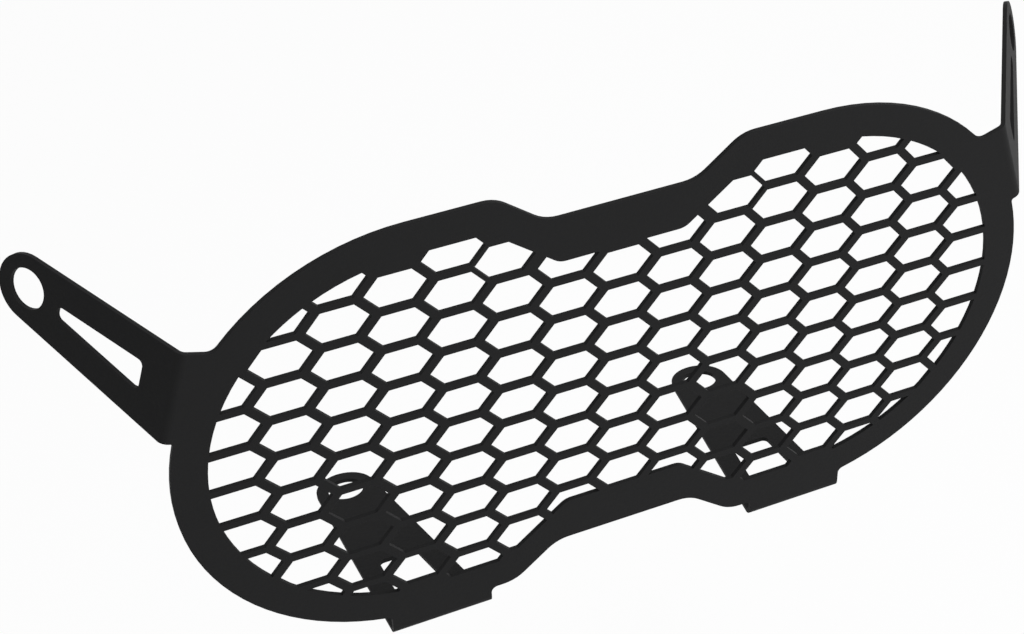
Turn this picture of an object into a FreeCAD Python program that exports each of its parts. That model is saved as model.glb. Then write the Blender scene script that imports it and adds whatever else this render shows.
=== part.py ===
import FreeCAD, Part
import math
import os
import Sketcher
from FreeCAD import Placement, Rotation, Vector

# Motorcycle headlight guard: one steel sheet, cut to a figure-eight outline, perforated with a
# honeycomb and folded into two side ears and two lower ears.
# X runs to the right, Y to the rear and Z up. The origin is the middle of the grille's back face.
# Lengths are in millimetres and angles in degrees.

SIZES = {
    # Sheet and its folds
    "sheet_thickness": 1.5,
    "bend_inner_radius": 2.0,
    # Outline of the plate: two round lobes joined by a waist with a notch above and below
    "lobe_offset": 67.7,
    "lobe_radius": 78.0,
    "notch_depth": 12.3,
    "notch_half_width": 24.6,
    "slope_angle": 38.5,
    "notch_fillet": 12.0,
    "shoulder_fillet": 12.0,
    # Rim around the window that the honeycomb fills
    "rim_width": 11.2,
    "notch_rim_width": 16.3,
    "window_notch_half_width": 20.8,
    "window_notch_fillet": 6.0,
    "window_shoulder_fillet": 3.0,
    # Honeycomb: cells in upright columns, parted by level bars and slanted bars
    "column_pitch": 18.0,
    "row_pitch": 14.23,
    "level_bar": 2.4,
    "slanted_bar": 2.9,
    "honeycomb_drop": 0.7,
    # The clipped cells at the shoulders of the upper notch stand a little further out
    "shoulder_cell_shift": 1.8,
    # Side ears: the fold leans from the upright, outside the lobe
    "side_bend": 55.2,
    "side_lean": 17.8,
    "side_fold_gap": 3.1,
    "side_fold_top": 30.7,
    "side_fold_length": 31.6,
    "side_hole_reach": 56.4,
    "side_hole_inset": 8.6,
    "side_hole_diameter": 13.0,
    "side_tip_radius": 10.8,
    "side_rail": 9.6,
    "side_opening_start": 12.0,
    "side_opening_end": 44.6,
    "side_opening_fillet": 2.0,
    "side_top_fillet": 3.6,
    "side_root_fillet": 1.0,
    # Lower ears: the fold is level, below the lobe
    "lower_bend": 79.9,
    "lower_fold_gap": 7.0,
    "lower_fold_end": 15.8,
    "lower_fold_length": 34.8,
    "lower_hole_reach": 88.2,
    "lower_hole_inset": 10.8,
    "lower_hole_diameter": 13.0,
    "lower_tip_radius": 10.8,
    "lower_rail": 7.6,
    "lower_opening_start": 12.0,
    "lower_opening_end": 39.6,
    "lower_opening_fillet": 2.0,
    "lower_root_fillet": 2.2,
}

# Sketch geometry that stands for the axes and the origin, and the ends of an edge
X_AXIS = -1
Y_AXIS = -2
ORIGIN = (-1, 1)
START = 1
END = 2
CENTRE = 3

UPRIGHT = Vector(0, 0, 1)
SIDEWAYS = Vector(1, 0, 0)
# A root fillet takes at most this share of the tab's edge that it runs into
FILLET_SHARE = 0.9
# Seen from the front, an edge shorter than this runs through the sheet
SNAP = 0.001

doc = FreeCAD.newDocument("headlight_guard")


class Size:
    """A value of the sheet, or a sum made of such values, with its number and its expression."""

    def __init__(self, value, text):
        self.value = value
        self.text = text

    def joined(self, sign, other, value):
        return Size(value, f"({self.text} {sign} {as_size(other).text})")

    def __add__(self, other):
        return self.joined("+", other, self.value + as_size(other).value)

    def __sub__(self, other):
        return self.joined("-", other, self.value - as_size(other).value)

    def __mul__(self, other):
        return self.joined("*", other, self.value * as_size(other).value)

    def __truediv__(self, other):
        return self.joined("/", other, self.value / as_size(other).value)

    def __neg__(self):
        return Size(-self.value, f"(-{self.text})")


def as_size(value):
    """A plain number as a Size."""
    return value if isinstance(value, Size) else Size(value, str(value))


QUARTER_TURN = as_size(90)
HALF_TURN = as_size(180)
HALF_STEP = 0.5


def tangent(angle):
    """Tangent of an angle in degrees."""
    return Size(math.tan(math.radians(angle.value)), f"tan({angle.text})")


def sine(angle):
    """Sine of an angle in degrees."""
    return Size(math.sin(math.radians(angle.value)), f"sin({angle.text})")


def cosine(angle):
    """Cosine of an angle in degrees."""
    return Size(math.cos(math.radians(angle.value)), f"cos({angle.text})")


def steepness(rise, run):
    """Angle of a slope in degrees."""
    return Size(math.degrees(math.atan2(rise.value, run.value)), f"atan2({rise.text}; {run.text})")


def whole(value):
    """A value rounded down."""
    return Size(math.floor(value.value), f"floor({value.text})")


def odd_part(value):
    """One for an odd value and none for an even one."""
    return Size(value.value % 2, f"mod({value.text}; 2)")


def smaller(first, second):
    """The smaller of two values."""
    return Size(min(first.value, second.value), f"min({first.text}; {second.text})")


def read_sheet():
    """Write the driving dimensions into the sheet, one named cell each, and return them by name."""
    sheet = doc.addObject("Spreadsheet::Sheet", "Sizes")
    for row, (name, value) in enumerate(SIZES.items(), start=1):
        sheet.set(f"A{row}", name)
        sheet.set(f"B{row}", str(value))
        sheet.setAlias(f"B{row}", name)
    doc.recompute()
    return {name: Size(value, f"Sizes.{name}") for name, value in SIZES.items()}


def new_sketch(body, name, plane):
    """Start a sketch on one of the body's own origin planes."""
    sketch = body.newObject("Sketcher::SketchObject", name)
    sketch.AttachmentSupport = (origin_plane(body, plane), "")
    sketch.MapMode = "FlatFace"
    return sketch


def origin_plane(body, role):
    """One of the body's origin planes or axes."""
    return next(feature for feature in body.Origin.OriginFeatures if feature.Role == role)


def relate(sketch, *constraint):
    """Add a relation to a sketch."""
    return sketch.addConstraint(Sketcher.Constraint(*constraint))


def measure(sketch, size, *constraint):
    """Add a dimension to a sketch and bind it to the sheet."""
    index = relate(sketch, *constraint, size.value)
    sketch.setExpression(f"Constraints[{index}]", size.text)


def measure_angle(sketch, size, *constraint):
    """Add an angle to a sketch and bind it to the sheet."""
    index = relate(sketch, *constraint, math.radians(size.value))
    sketch.setExpression(f"Constraints[{index}]", f"{size.text} * 1 deg")


def line(sketch, start, end):
    """Add a straight edge between two points."""
    return sketch.addGeometry(Part.LineSegment(Vector(*start), Vector(*end)))


def arc(sketch, centre, start, end):
    """Add an arc that turns anticlockwise from one point to another."""
    spoke = Vector(*start) - Vector(*centre)
    last_spoke = Vector(*end) - Vector(*centre)
    first = math.atan2(spoke.y, spoke.x)
    last = math.atan2(last_spoke.y, last_spoke.x)
    if last < first:
        last += 2 * math.pi
    circle = Part.Circle(Vector(*centre), UPRIGHT, spoke.Length)
    return sketch.addGeometry(Part.ArcOfCircle(circle, first, last))


def rounding(before, corner, after, radius):
    """Where a corner's fillet leaves its first edge and joins its second, and the fillet's centre."""
    point = Vector(*corner)
    back = (Vector(*before) - point).normalize()
    ahead = (Vector(*after) - point).normalize()
    half = back.getAngle(ahead) / 2
    leave = point + back * (radius / math.tan(half))
    join = point + ahead * (radius / math.tan(half))
    centre = point + (back + ahead).normalize() * (radius / math.sin(half))
    return leave, join, centre


def pad(body, sketch, name):
    """Raise a sketch by the sheet's thickness."""
    feature = body.newObject("PartDesign::Pad", name)
    feature.Profile = sketch
    feature.setExpression("Length", "Sizes.sheet_thickness")
    return feature


def pocket(body, sketch, name):
    """Cut a sketch through the sheet that lies ahead of its plane."""
    feature = body.newObject("PartDesign::Pocket", name)
    feature.Profile = sketch
    feature.Type = "ThroughAll"
    feature.Reversed = True
    return feature


def mirror(body, originals, name, planes):
    """Repeat features across one or two of the body's origin planes."""
    transform = body.newObject("PartDesign::MultiTransform", name)
    transform.Originals = originals
    flips = []
    for plane in planes:
        flip = body.newObject("PartDesign::Mirrored", f"{name}_across_{plane}")
        flip.MirrorPlane = (origin_plane(body, plane), [""])
        flips.append(flip)
    transform.Transformations = flips
    body.Tip = transform
    return transform


def figure_eight_quarter(
    body, name, radius, notch_height, notch_half_width, notch_fillet, shoulder_fillet
):
    """Sketch the upper right quarter of the figure-eight outline."""
    sketch = new_sketch(body, name, "XZ_Plane")
    offset = size["lobe_offset"]
    slope_angle = size["slope_angle"]
    rise = radius - notch_height
    shoulder_x = notch_half_width + rise / tangent(slope_angle)
    lobe_end = (offset + radius).value
    top = radius.value
    shoulder = (shoulder_x.value, top)
    notch = (notch_half_width.value, notch_height.value)
    sill_end = (0, notch_height.value)
    flat_start = (offset.value, top)
    flat_end, slope_top, crest_centre = rounding(flat_start, shoulder, notch, shoulder_fillet.value)
    slope_foot, sill_start, dip_centre = rounding(shoulder, notch, sill_end, notch_fillet.value)

    base = line(sketch, (0, 0), (lobe_end, 0))
    lobe = arc(sketch, (offset.value, 0), (lobe_end, 0), flat_start)
    flat = line(sketch, flat_start, flat_end)
    crest = arc(sketch, crest_centre, flat_end, slope_top)
    slope = line(sketch, slope_top, slope_foot)
    dip = arc(sketch, dip_centre, sill_start, slope_foot)
    sill = line(sketch, sill_start, sill_end)
    middle = line(sketch, sill_end, (0, 0))
    corner = sketch.addGeometry(Part.Point(Vector(*notch)))

    relate(sketch, "Coincident", base, START, *ORIGIN)
    relate(sketch, "Coincident", base, END, lobe, START)
    relate(sketch, "Horizontal", base)
    relate(sketch, "PointOnObject", lobe, CENTRE, X_AXIS)
    relate(sketch, "Tangent", lobe, END, flat, START)
    relate(sketch, "Horizontal", flat)
    relate(sketch, "Tangent", flat, END, crest, START)
    relate(sketch, "Tangent", crest, END, slope, START)
    relate(sketch, "Tangent", slope, END, dip, END)
    relate(sketch, "Tangent", dip, START, sill, START)
    relate(sketch, "Horizontal", sill)
    relate(sketch, "Coincident", sill, END, middle, START)
    relate(sketch, "Coincident", middle, END, *ORIGIN)
    relate(sketch, "Vertical", middle)
    relate(sketch, "PointOnObject", corner, START, slope)
    relate(sketch, "PointOnObject", corner, START, sill)
    measure(sketch, offset, "DistanceX", *ORIGIN, lobe, CENTRE)
    measure(sketch, radius, "Radius", lobe)
    measure(sketch, notch_height, "DistanceY", *ORIGIN, middle, START)
    measure(sketch, notch_half_width, "DistanceX", *ORIGIN, corner, START)
    measure_angle(sketch, slope_angle, "Angle", X_AXIS, START, slope, END)
    measure(sketch, shoulder_fillet, "Radius", crest)
    measure(sketch, notch_fillet, "Radius", dip)
    return sketch


def outer_quarter(body, name):
    """Quarter of the plate's own outline."""
    return figure_eight_quarter(
        body,
        name,
        size["lobe_radius"],
        notch_height,
        size["notch_half_width"],
        size["notch_fillet"],
        size["shoulder_fillet"],
    )


def window_quarter(body, name):
    """Quarter of the window inside the rim."""
    return figure_eight_quarter(
        body,
        name,
        window_radius,
        notch_height - size["notch_rim_width"],
        size["window_notch_half_width"],
        size["window_notch_fillet"],
        size["window_shoulder_fillet"],
    )


def root_tab(body, name, far_side, length, depth, turn):
    """Sketch a root tab that runs from the left lobe's centre out to the start of a fold."""
    sketch = new_sketch(body, name, "XZ_Plane")
    lobe_centre = Vector(-size["lobe_offset"].value, 0, 0)
    sketch.AttachmentOffset = Placement(lobe_centre, Rotation(UPRIGHT, turn.value))
    sketch.setExpression(".AttachmentOffset.Base.x", (-size["lobe_offset"]).text)
    sketch.setExpression(".AttachmentOffset.Rotation.Angle", turn.text)
    left = (far_side - length).value
    right = far_side.value
    corners = [(left, 0), (right, 0), (right, depth.value), (left, depth.value)]
    base, side, end, other_side = closed_polygon(sketch, corners)
    relate(sketch, "PointOnObject", base, START, X_AXIS)
    for edge in (base, end):
        relate(sketch, "Horizontal", edge)
    for edge in (side, other_side):
        relate(sketch, "Vertical", edge)
    measure(sketch, far_side, "DistanceX", *ORIGIN, base, END)
    measure(sketch, length, "DistanceX", base, START, base, END)
    measure(sketch, depth, "DistanceY", side, START, side, END)
    return sketch


def closed_polygon(sketch, corners):
    """Add straight edges from corner to corner and back to the first."""
    following = corners[1:] + corners[:1]
    edges = [line(sketch, start, end) for start, end in zip(corners, following)]
    for edge, following_edge in zip(edges, edges[1:] + edges[:1]):
        relate(sketch, "Coincident", edge, END, following_edge, START)
    return edges


def fillet(body, base, name, radius, points):
    """Round the sheet's upright edges that stand at the given points, on both sides of the plate."""
    places = [Vector(side * x, 0, z) for x, z in points for side in (-1, 1)]
    upright = [
        (index, edge)
        for index, edge in enumerate(base.Shape.Edges, start=1)
        if edge.BoundBox.XLength < SNAP and edge.BoundBox.ZLength < SNAP
    ]
    names = []
    for place in places:
        index, _ = min(upright, key=lambda item: flat_distance(item[1], place))
        names.append(f"Edge{index}")
    feature = body.newObject("PartDesign::Fillet", name)
    feature.Base = (base, names)
    feature.setExpression("Radius", radius.text)
    doc.recompute()
    return feature


def flat_distance(edge, place):
    """Distance from an upright edge to a point, seen from the front."""
    middle = edge.BoundBox.Center
    return math.hypot(middle.x - place.x, middle.z - place.z)


def make_plate():
    """The plate with its rim and its root tabs, open inside the rim."""
    body = doc.addObject("PartDesign::Body", "plate")
    quarter = pad(body, outer_quarter(body, "outline_quarter"), "blank_quarter")
    mirror(body, [quarter], "blank", ["YZ_Plane", "XY_Plane"])

    side_depth = size["lobe_radius"] + size["side_fold_gap"] - setback("side")
    lower_depth = size["lobe_radius"] + size["lower_fold_gap"] - setback("lower")
    side_sketch = root_tab(
        body, "side_tab_outline", size["side_fold_top"], size["side_fold_length"], side_depth, side_turn
    )
    side_tab = pad(body, side_sketch, "side_tab")
    lower_sketch = root_tab(
        body, "lower_tab_outline", size["lower_fold_end"], size["lower_fold_length"], lower_depth, HALF_TURN
    )
    lower_tab = pad(body, lower_sketch, "lower_tab")
    tabs = mirror(body, [side_tab, lower_tab], "tabs", ["YZ_Plane"])
    doc.recompute()

    side_top = size["side_fold_top"].value
    side_foot = side_top - size["side_fold_length"].value
    lower_outer = size["lower_fold_end"].value
    lower_inner = lower_outer - size["lower_fold_length"].value
    root_room = (side_depth - size["lobe_radius"]) * FILLET_SHARE
    side_top_point = lobe_point(side_top, side_turn)
    rounded = fillet(body, tabs, "side_top_rounding", size["side_top_fillet"], [side_top_point])
    rounded = fillet(
        body,
        rounded,
        "side_root_rounding",
        smaller(size["side_root_fillet"], root_room),
        [lobe_point(side_foot, side_turn)],
    )
    lower_points = [lobe_point(lower_outer, HALF_TURN), lobe_point(lower_inner, HALF_TURN)]
    fillet(body, rounded, "lower_root_rounding", size["lower_root_fillet"], lower_points)

    opening = pocket(body, window_quarter(body, "window_quarter"), "window_quarter_cut")
    mirror(body, [opening], "window", ["YZ_Plane", "XY_Plane"])
    return body


def lobe_point(along, turn):
    """Where a root tab's side, this far along its fold, meets the left lobe's outline."""
    radius = size["lobe_radius"].value
    round_part = along if turn is not HALF_TURN else max(along, 0)
    out = math.sqrt(radius**2 - round_part**2)
    angle = math.radians(turn.value)
    x = along * math.cos(angle) - out * math.sin(angle)
    z = along * math.sin(angle) + out * math.cos(angle)
    return x - size["lobe_offset"].value, z


def setback(ear):
    """Distance from the corner where a fold's outer faces would meet back to the start of the bend."""
    return bend_outer_radius * tangent(size[f"{ear}_bend"] / 2)


def cell_size():
    """Half of a cell's length to its points, half of its level edges' length and half of its height."""
    slant = steepness(size["row_pitch"] / 2, size["column_pitch"] / 3)
    height = (size["row_pitch"] - size["level_bar"]) / 2
    point = size["column_pitch"] * 2 / 3 - size["slanted_bar"] / 2 / sine(slant)
    shoulder = point - height / tangent(slant)
    return point, shoulder, height


def cell_outline(body, name, x, z):
    """Sketch one cell of the honeycomb about its centre."""
    sketch = new_sketch(body, name, "XZ_Plane")
    sketch.setExpression(".AttachmentOffset.Base.x", x.text)
    sketch.setExpression(".AttachmentOffset.Base.y", z.text)
    point, shoulder, height = cell_size()
    p, s, h = point.value, shoulder.value, height.value
    corners = [(p, 0), (s, h), (-s, h), (-p, 0), (-s, -h), (s, -h)]
    right_up, top, left_up, left_down, bottom, right_down = closed_polygon(sketch, corners)
    relate(sketch, "PointOnObject", right_up, START, X_AXIS)
    relate(sketch, "Symmetric", right_up, START, left_up, END, *ORIGIN)
    relate(sketch, "Symmetric", top, START, top, END, Y_AXIS)
    relate(sketch, "Symmetric", top, START, bottom, END, X_AXIS)
    relate(sketch, "Symmetric", top, END, bottom, START, X_AXIS)
    measure(sketch, point, "DistanceX", *ORIGIN, right_up, START)
    measure(sketch, shoulder, "DistanceX", *ORIGIN, top, START)
    measure(sketch, height, "DistanceY", *ORIGIN, top, START)
    return sketch


def half_cell_outline(body, name, x, z):
    """Sketch a rectangle as high as a cell and half as long, about its centre."""
    sketch = new_sketch(body, name, "XZ_Plane")
    sketch.setExpression(".AttachmentOffset.Base.x", x.text)
    sketch.setExpression(".AttachmentOffset.Base.y", z.text)
    point, _, height = cell_size()
    p, h = point.value / 2, height.value
    bottom, right, top, left = closed_polygon(sketch, [(-p, -h), (p, -h), (p, h), (-p, h)])
    relate(sketch, "Symmetric", bottom, START, top, START, *ORIGIN)
    for edge in (bottom, top):
        relate(sketch, "Horizontal", edge)
    for edge in (left, right):
        relate(sketch, "Vertical", edge)
    measure(sketch, point, "DistanceX", bottom, START, bottom, END)
    measure(sketch, height, "DistanceY", *ORIGIN, right, END)
    return sketch


def cut_block(body, outline, name, width, columns, rows):
    """Cut an outline again and again across the grille and up it, centred on the honeycomb's middle."""
    height = (rows - 1) * size["row_pitch"]
    sketch = outline(body, f"{name}_outline", -(width / 2), -(height / 2) - size["honeycomb_drop"])
    cut = pocket(body, sketch, f"{name}_cut")
    block = body.newObject("PartDesign::LinearPattern", name)
    block.Originals = [cut]
    block.Direction = (sketch, ["H_Axis"])
    block.setExpression("Length", width.text)
    block.setExpression("Occurrences", columns.text)
    block.Direction2 = (sketch, ["V_Axis"])
    block.setExpression("Length2", height.text)
    block.setExpression("Occurrences2", rows.text)
    body.Tip = block


def make_honeycomb():
    """The honeycomb that fills the window: a cell is cut where its centre is within the window's box."""
    body = doc.addObject("PartDesign::Body", "honeycomb")
    quarter = pad(body, window_quarter(body, "field_quarter"), "field_quarter_sheet")
    mirror(body, [quarter], "field", ["YZ_Plane", "XY_Plane"])
    column_step = size["column_pitch"] * 2
    last_column = whole((size["lobe_offset"] + window_radius) / size["column_pitch"])
    rows_each_side = window_radius / size["row_pitch"]
    even_columns = whole(last_column / 2) * 2 + 1
    even_rows = whole(rows_each_side) * 2 + 1
    odd_columns = whole((last_column + 1) / 2) * 2
    odd_rows = whole(rows_each_side + HALF_STEP) * 2

    # The cells of the outermost columns run square into the rim
    rim_rows = even_rows + odd_part(last_column) * (odd_rows - even_rows)
    rim_span = last_column * column_step + cell_size()[0]
    cut_block(body, half_cell_outline, "rim_cells", rim_span, as_size(2), rim_rows)
    cut_block(body, cell_outline, "even_cells", (even_columns - 1) * column_step, even_columns, even_rows)

    shoulder_x = -column_step
    shoulder_z = whole(rows_each_side) * size["row_pitch"] - size["honeycomb_drop"]
    moved_x = shoulder_x - size["shoulder_cell_shift"]
    patch = pad(body, cell_outline(body, "shoulder_patch_outline", shoulder_x, shoulder_z), "shoulder_patch")
    mirror(body, [patch], "shoulder_patches", ["YZ_Plane"])
    cell = pocket(body, cell_outline(body, "shoulder_cell_outline", moved_x, shoulder_z), "shoulder_cell_cut")
    mirror(body, [cell], "shoulder_cells", ["YZ_Plane"])

    cut_block(body, cell_outline, "odd_cells", (odd_columns - 1) * column_step, odd_columns, odd_rows)
    return body


def touch_point(point, centre, radius, side):
    """Where a straight edge from a point touches a circle, on the circle's left or right side."""
    start = Vector(*point)
    to_centre = Vector(*centre) - start
    lean = side * math.asin(radius / to_centre.Length)
    reach = math.sqrt(to_centre.Length**2 - radius**2)
    heading = math.atan2(to_centre.y, to_centre.x) + lean
    return start + Vector(math.cos(heading), math.sin(heading)) * reach


def offset_at(start, end, distance, height):
    """Point at a height on a line that runs beside an edge, to its right."""
    along = (Vector(*end) - Vector(*start)).normalize()
    beside = Vector(*start) + Vector(along.y, -along.x) * distance
    return (beside.x + along.x * (height - beside.y) / along.y, height)


def ear_outline(body, ear):
    """Sketch an ear flat: two edges that run from the fold to a round tip, a hole and a tapered opening."""
    sketch = new_sketch(body, f"{ear}_ear_outline", "XY_Plane")
    length = size[f"{ear}_fold_length"]
    inset = size[f"{ear}_hole_inset"]
    reach = size[f"{ear}_hole_reach"]
    tip_radius = size[f"{ear}_tip_radius"]
    rail = size[f"{ear}_rail"]
    start = setback(ear)
    tip = (inset.value, reach.value)
    left_root = (0, start.value)
    right_root = (length.value, start.value)
    left_touch = touch_point(left_root, tip, tip_radius.value, 1)
    right_touch = touch_point(right_root, tip, tip_radius.value, -1)

    left = line(sketch, left_root, left_touch)
    nose = arc(sketch, tip, right_touch, left_touch)
    right = line(sketch, right_touch, right_root)
    root = line(sketch, right_root, left_root)
    relate(sketch, "PointOnObject", left, START, Y_AXIS)
    relate(sketch, "Tangent", left, END, nose, END)
    relate(sketch, "Tangent", nose, START, right, START)
    relate(sketch, "Coincident", right, END, root, START)
    relate(sketch, "Coincident", root, END, left, START)
    relate(sketch, "Horizontal", root)
    measure(sketch, start, "DistanceY", *ORIGIN, left, START)
    measure(sketch, length, "DistanceX", root, END, root, START)
    measure(sketch, inset, "DistanceX", *ORIGIN, nose, CENTRE)
    measure(sketch, reach, "DistanceY", *ORIGIN, nose, CENTRE)
    measure(sketch, tip_radius, "Radius", nose)

    hole_size = size[f"{ear}_hole_diameter"]
    hole = sketch.addGeometry(Part.Circle(Vector(*tip), UPRIGHT, hole_size.value / 2))
    relate(sketch, "Coincident", hole, CENTRE, nose, CENTRE)
    measure(sketch, hole_size, "Diameter", hole)

    near = size[f"{ear}_opening_start"]
    far = size[f"{ear}_opening_end"]
    corner_radius = size[f"{ear}_opening_fillet"]
    corners = [
        offset_at(left_root, left_touch, rail.value, near.value),
        offset_at(right_root, right_touch, -rail.value, near.value),
        offset_at(right_root, right_touch, -rail.value, far.value),
        offset_at(left_root, left_touch, rail.value, far.value),
    ]
    near_edge, right_edge, far_edge, left_edge = rounded_polygon(sketch, corners, corner_radius)
    relate(sketch, "Horizontal", near_edge)
    relate(sketch, "Horizontal", far_edge)
    relate(sketch, "Parallel", left_edge, left)
    relate(sketch, "Parallel", right_edge, right)
    measure(sketch, near, "DistanceY", *ORIGIN, near_edge, START)
    measure(sketch, far, "DistanceY", *ORIGIN, far_edge, START)
    measure(sketch, rail, "Distance", left_edge, START, left)
    measure(sketch, rail, "Distance", right_edge, START, right)
    return sketch


def rounded_polygon(sketch, corners, radius):
    """Add a closed polygon, anticlockwise, with equal round corners."""
    count = len(corners)
    turns = [
        rounding(corners[i - 1], corners[i], corners[(i + 1) % count], radius.value) for i in range(count)
    ]
    edges = [line(sketch, turns[i][1], turns[(i + 1) % count][0]) for i in range(count)]
    rounds = [arc(sketch, centre, leave, join) for leave, join, centre in turns]
    for i in range(count):
        relate(sketch, "Tangent", edges[i - 1], END, rounds[i], START)
        relate(sketch, "Tangent", rounds[i], END, edges[i], START)
    measure(sketch, radius, "Radius", rounds[0])
    for other in rounds[1:]:
        relate(sketch, "Equal", rounds[0], other)
    return edges


def bend(body, ear):
    """Turn the sheet's section from the ear back to the plate, about an axis inside the fold."""
    sketch = new_sketch(body, f"{ear}_bend_section", "XZ_Plane")
    sketch.setExpression(".AttachmentOffset.Base.y", bend_outer_radius.text)
    sketch.setExpression(".AttachmentOffset.Base.z", (-setback(ear)).text)
    length = size[f"{ear}_fold_length"]
    inner = size["bend_inner_radius"]
    right = length.value
    low = -bend_outer_radius.value
    high = -inner.value
    corners = [(0, low), (right, low), (right, high), (0, high)]
    outer_edge, right_edge, inner_edge, left_edge = closed_polygon(sketch, corners)
    relate(sketch, "PointOnObject", left_edge, START, Y_AXIS)
    for edge in (outer_edge, inner_edge):
        relate(sketch, "Horizontal", edge)
    for edge in (left_edge, right_edge):
        relate(sketch, "Vertical", edge)
    measure(sketch, length, "DistanceX", outer_edge, START, outer_edge, END)
    measure(sketch, inner, "DistanceY", left_edge, START, *ORIGIN)
    measure(sketch, bend_outer_radius, "DistanceY", left_edge, END, *ORIGIN)
    feature = body.newObject("PartDesign::Revolution", f"{ear}_bend")
    feature.Profile = sketch
    feature.ReferenceAxis = (sketch, ["H_Axis"])
    feature.setExpression("Angle", size[f"{ear}_bend"].text)
    feature.Reversed = True
    return feature


def make_ear(ear, corner_x, corner_z, turn):
    """An ear in its own frame, with X along its fold and Y away from it, set against the plate."""
    body = doc.addObject("PartDesign::Body", f"left_{ear}_ear")
    pad(body, ear_outline(body, ear), f"{ear}_ear_sheet")
    bend(body, ear)
    corner = f"vector({corner_x.text}; -{size['sheet_thickness'].text}; {corner_z.text})"
    fold = f"rotationy({turn.text}) * rotationx({(size[f'{ear}_bend'] - QUARTER_TURN).text})"
    body.setExpression("Placement", f"placement({corner}; {fold})")
    other = doc.addObject("Part::Mirroring", f"right_{ear}_ear")
    other.Source = body
    other.Normal = SIDEWAYS
    return [body, other]


size = read_sheet()
notch_height = size["lobe_radius"] - size["notch_depth"]
window_radius = size["lobe_radius"] - size["rim_width"]
bend_outer_radius = size["bend_inner_radius"] + size["sheet_thickness"]
side_turn = QUARTER_TURN - size["side_lean"]

side_reach = size["lobe_radius"] + size["side_fold_gap"]
along_x = sine(size["side_lean"])
along_z = cosine(size["side_lean"])
side_ears = make_ear(
    "side",
    along_x * size["side_fold_top"] - along_z * side_reach - size["lobe_offset"],
    along_x * side_reach + along_z * size["side_fold_top"],
    QUARTER_TURN + size["side_lean"],
)
lower_ears = make_ear(
    "lower",
    -(size["lobe_offset"] + size["lower_fold_end"]),
    -(size["lobe_radius"] + size["lower_fold_gap"]),
    as_size(0),
)

guard = doc.addObject("Part::MultiFuse", "headlight_guard")
guard.Label = "headlight_guard"
guard.Shapes = [make_plate(), make_honeycomb()] + side_ears + lower_ears
guard.Refine = True
doc.recompute()


def check_model():
    """Stop if any feature failed or the sheet isn't one sound solid."""
    for item in doc.Objects:
        if "Invalid" in item.State or "Error" in item.State:
            raise RuntimeError(f"{item.Label} failed: {item.State}")
    if guard.Shape.isNull() or not guard.Shape.isValid():
        raise RuntimeError("the guard's shape isn't valid")
    if len(guard.Shape.Solids) != 1:
        raise RuntimeError(f"the guard is {len(guard.Shape.Solids)} solids")


check_model()
os.makedirs("parts", exist_ok=True)
guard.Shape.exportStep(f"parts/{guard.Label}.step")
box = guard.Shape.BoundBox
print(f"{guard.Label}: {box.XLength:.1f} x {box.YLength:.1f} x {box.ZLength:.1f} mm")
print(f"volume {guard.Shape.Volume:.0f} mm3, {len(guard.Shape.Faces)} faces")
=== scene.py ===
import math

import bpy
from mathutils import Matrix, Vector


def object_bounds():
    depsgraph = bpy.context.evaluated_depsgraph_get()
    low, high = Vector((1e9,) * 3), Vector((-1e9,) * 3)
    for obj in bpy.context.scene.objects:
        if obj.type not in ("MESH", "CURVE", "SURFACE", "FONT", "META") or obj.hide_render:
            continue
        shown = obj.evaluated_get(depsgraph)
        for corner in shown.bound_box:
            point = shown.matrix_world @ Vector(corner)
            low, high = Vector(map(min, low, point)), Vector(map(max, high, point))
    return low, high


# The guard's finish, the studio around it and the camera. Lengths are in metres and angles in degrees,
# apart from the camera's lens and sensor, which are in millimetres. Seen from the front, X runs to the
# right, Y to the rear and Z up, from the middle of the grille's back face.

MM = 0.001

# Camera: where it stands, how it is turned, and the photograph's frame
CAMERA_PLACE = (-0.19732, -0.42927, 0.40283)
CAMERA_TURN = (52.643, 0.790, -24.026)
CAMERA_LENS = 68.669
CAMERA_SENSOR = 36.0
CAMERA_SHIFT = (-0.07324, -0.05439)
CAMERA_NEAR = 0.01

# Satin black powder coat on steel sheet: two tones that drift over it, and its gloss
COAT_DARK = (0.0094, 0.0094, 0.0096, 1.0)
COAT_LIGHT = (0.0116, 0.0116, 0.0118, 1.0)
COAT_ROUGHNESS = 0.60
COAT_SPECULAR = 0.07

# The coat's orange peel, the finer grain on it and the clouds in its tone. The peel has a share of the
# relief, and the grain has the rest.
PEEL_SIZE = 1.6 * MM
GRAIN_SIZE = 0.35 * MM
CLOUD_SIZE = 40 * MM
PEEL_DETAIL = 2.0
GRAIN_DETAIL = 3.0
CLOUD_DETAIL = 3.0
PEEL_HEIGHT = 0.10 * MM
PEEL_STRENGTH = 1.0
PEEL_SHARE = 0.65

# How far the peel and the clouds swing the roughness, about the middle of their noise
PEEL_SWING = 0.10
CLOUD_SWING = 0.08
NOISE_MIDDLE = 0.5

# Cut edges, which the coat softens
EDGE_RADIUS = 0.15 * MM
EDGE_SAMPLES = 6

# Floor: how far below the guard it lies, its paint, and how much of it is seen as plain white
FLOOR_DROP = 0.12
FLOOR_SIDE = 6.0
FLOOR_COLOUR = (0.86, 0.86, 0.86, 1.0)
FLOOR_ROUGHNESS = 0.9
FLOOR_SPECULAR = 0.0
FLOOR_GLOW = 1.0
FLOOR_WHITENING = 0.94

# Sky: its light on the guard, and the white that is seen
WHITE = (1.0, 1.0, 1.0, 1.0)
SKY_COLOUR = (0.80, 0.82, 0.85, 1.0)
SKY_LEVEL = 0.4
SKY_WHITENESS = 0.965

# Lamps: place, side and watts
LAMPS = {
    "top_lamp": ((0.45, 0.05, 1.1), 0.8, 8),
    "front_lamp": ((0.35, -1.15, 0.2), 0.8, 11),
}

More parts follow.
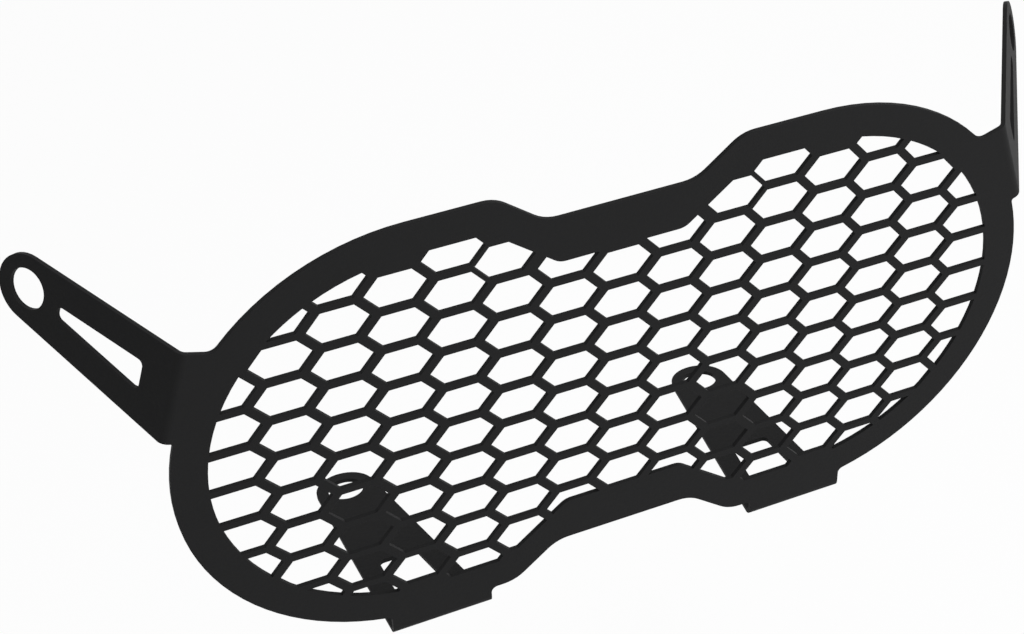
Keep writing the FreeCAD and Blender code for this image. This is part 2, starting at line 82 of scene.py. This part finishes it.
# Numbers of a Mix node's sockets for colours, and of a Mix Shader's, whose names aren't their own
BLEND_SHARE, BLEND_FIRST, BLEND_SECOND, BLEND_COLOUR = 0, 6, 7, 2
OVERLAY_SHARE, OVERLAY_FIRST, OVERLAY_SECOND = 0, 1, 2


class Channel:
    """One output of a shader node, which Python's operators turn into Math nodes."""

    def __init__(self, finish, socket):
        self.finish = finish
        self.socket = socket

    def maths(self, operation, first, second):
        sockets = {0: first, 1: second}
        return self.finish.node("ShaderNodeMath", {"operation": operation}, sockets, "Value")

    def __add__(self, other):
        return self.maths("ADD", self, other)

    def __radd__(self, other):
        return self.maths("ADD", other, self)

    def __sub__(self, other):
        return self.maths("SUBTRACT", self, other)

    def __rsub__(self, other):
        return self.maths("SUBTRACT", other, self)

    def __mul__(self, other):
        return self.maths("MULTIPLY", self, other)

    def __rmul__(self, other):
        return self.maths("MULTIPLY", other, self)

    def at_most(self, other):
        return self.maths("MINIMUM", self, other)


class Finish:
    """A node tree that is being wired, of a material or of the world."""

    def __init__(self, owner):
        owner.use_nodes = True
        self.tree = owner.node_tree
        self.tree.nodes.clear()

    def node(self, kind, settings, sockets, output=None):
        """Add a node, set it, feed its sockets and return the named output."""
        made = self.tree.nodes.new(kind)
        for name, value in settings.items():
            setattr(made, name, value)
        for name, value in sockets.items():
            if isinstance(value, Channel):
                self.tree.links.new(value.socket, made.inputs[name])
            else:
                made.inputs[name].default_value = value
        return Channel(self, made.outputs[output]) if output else None

    def noise(self, place, size, detail):
        """Smooth noise whose blotches are about this size."""
        sockets = {"Vector": place, "Scale": 1 / size, "Detail": detail}
        return self.node("ShaderNodeTexNoise", {}, sockets, "Fac")

    def blend(self, share, first, second):
        """A colour between two colours."""
        sockets = {BLEND_SHARE: share, BLEND_FIRST: first, BLEND_SECOND: second}
        return self.node("ShaderNodeMix", {"data_type": "RGBA"}, sockets, BLEND_COLOUR)

    def overlay(self, share, first, second):
        """A shader between two shaders."""
        sockets = {OVERLAY_SHARE: share, OVERLAY_FIRST: first, OVERLAY_SECOND: second}
        return self.node("ShaderNodeMixShader", {}, sockets, "Shader")

    def seen(self):
        """One where the camera, a reflection or glass looks straight at the surface."""
        rays = ("Is Camera Ray", "Is Glossy Ray", "Is Transmission Ray")
        camera, glossy, glass = (self.node("ShaderNodeLightPath", {}, {}, ray) for ray in rays)
        return (camera + glossy + glass).at_most(1.0)


def powder_coat():
    """Satin black powder coat: near-black, with a fine orange peel and softened edges."""
    material = bpy.data.materials.new("satin_black_powder_coat")
    coat = Finish(material)
    place = coat.node("ShaderNodeTexCoord", {}, {}, "Object")
    peel = coat.noise(place, PEEL_SIZE, PEEL_DETAIL)
    grain = coat.noise(place, GRAIN_SIZE, GRAIN_DETAIL)
    cloud = coat.noise(place, CLOUD_SIZE, CLOUD_DETAIL)
    edges = {"Radius": EDGE_RADIUS}
    relief = {
        "Strength": PEEL_STRENGTH,
        "Distance": PEEL_HEIGHT,
        "Height": peel * PEEL_SHARE + grain * (1 - PEEL_SHARE),
        "Normal": coat.node("ShaderNodeBevel", {"samples": EDGE_SAMPLES}, edges, "Normal"),
    }
    swing = (peel - NOISE_MIDDLE) * PEEL_SWING + (cloud - NOISE_MIDDLE) * CLOUD_SWING
    surface = {
        "Base Color": coat.blend(cloud, COAT_DARK, COAT_LIGHT),
        "Roughness": COAT_ROUGHNESS + swing,
        "Specular IOR Level": COAT_SPECULAR,
        "Normal": coat.node("ShaderNodeBump", {}, relief, "Normal"),
    }
    shaded = coat.node("ShaderNodeBsdfPrincipled", {}, surface, "BSDF")
    coat.node("ShaderNodeOutputMaterial", {}, {"Surface": shaded})
    return material


def floor_paint():
    """Pale matt floor that reads as white and keeps a faint shadow."""
    material = bpy.data.materials.new("pale_floor")
    paint = Finish(material)
    matt = {
        "Base Color": FLOOR_COLOUR,
        "Roughness": FLOOR_ROUGHNESS,
        "Specular IOR Level": FLOOR_SPECULAR,
    }
    shaded = paint.node("ShaderNodeBsdfPrincipled", {}, matt, "BSDF")
    glow = paint.node("ShaderNodeEmission", {}, {"Color": WHITE, "Strength": FLOOR_GLOW}, "Emission")
    mixed = paint.overlay(paint.seen() * FLOOR_WHITENING, shaded, glow)
    paint.node("ShaderNodeOutputMaterial", {}, {"Surface": mixed})
    return material


def dress_guard(guard):
    """Give the folded sheet its powder coat."""
    guard.data.materials.clear()
    guard.data.materials.append(powder_coat())


def lay_floor(height):
    """A wide pale floor, well below the guard, which has no feet to stand on."""
    half = FLOOR_SIDE / 2
    corners = [
        (-half, -half, height),
        (half, -half, height),
        (half, half, height),
        (-half, half, height),
    ]
    mesh = bpy.data.meshes.new("studio_floor")
    mesh.from_pydata(corners, [], [(0, 1, 2, 3)])
    floor = bpy.data.objects.new("studio_floor", mesh)
    floor.data.materials.append(floor_paint())
    bpy.context.scene.collection.objects.link(floor)


def light_sky():
    """A white studio that lights the guard softly from all round."""
    world = bpy.data.worlds.new("studio_sky")
    bpy.context.scene.world = world
    sky = Finish(world)
    light = {"Color": SKY_COLOUR, "Strength": SKY_LEVEL}
    backdrop = {"Color": WHITE, "Strength": SKY_WHITENESS}
    soft = sky.node("ShaderNodeBackground", {}, light, "Background")
    white = sky.node("ShaderNodeBackground", {}, backdrop, "Background")
    sky.node("ShaderNodeOutputWorld", {}, {"Surface": sky.overlay(sky.seen(), soft, white)})


def hang_lamp(name, place, side, watts):
    """A square soft lamp that faces the grille's middle."""
    data = bpy.data.lights.new(name, "AREA")
    data.size = side
    data.energy = watts
    lamp = bpy.data.objects.new(name, data)
    lamp.location = place
    lamp.rotation_euler = (-Vector(place)).to_track_quat("-Z", "Y").to_euler()
    bpy.context.scene.collection.objects.link(lamp)


def set_camera():
    """The photograph's camera, high in front of the guard and to its left."""
    data = bpy.data.cameras.new("photo_camera")
    data.lens = CAMERA_LENS
    data.sensor_width = CAMERA_SENSOR
    data.shift_x, data.shift_y = CAMERA_SHIFT
    data.clip_start = CAMERA_NEAR
    camera = bpy.data.objects.new("photo_camera", data)
    camera.location = CAMERA_PLACE
    camera.rotation_euler = [math.radians(turn) for turn in CAMERA_TURN]
    bpy.context.scene.collection.objects.link(camera)
    bpy.context.scene.camera = camera


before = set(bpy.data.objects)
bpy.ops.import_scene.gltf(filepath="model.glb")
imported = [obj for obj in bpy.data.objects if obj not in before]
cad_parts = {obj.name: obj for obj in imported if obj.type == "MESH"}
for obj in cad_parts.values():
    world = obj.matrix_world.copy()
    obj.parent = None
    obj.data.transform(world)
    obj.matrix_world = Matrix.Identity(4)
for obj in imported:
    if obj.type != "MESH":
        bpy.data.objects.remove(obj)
cad_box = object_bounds()
bpy.context.scene.view_settings.view_transform = "Standard"

dress_guard(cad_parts["headlight_guard"])
lay_floor(cad_box[0].z - FLOOR_DROP)
light_sky()
for name, (place, side, watts) in LAMPS.items():
    hang_lamp(name, place, side, watts)
set_camera()
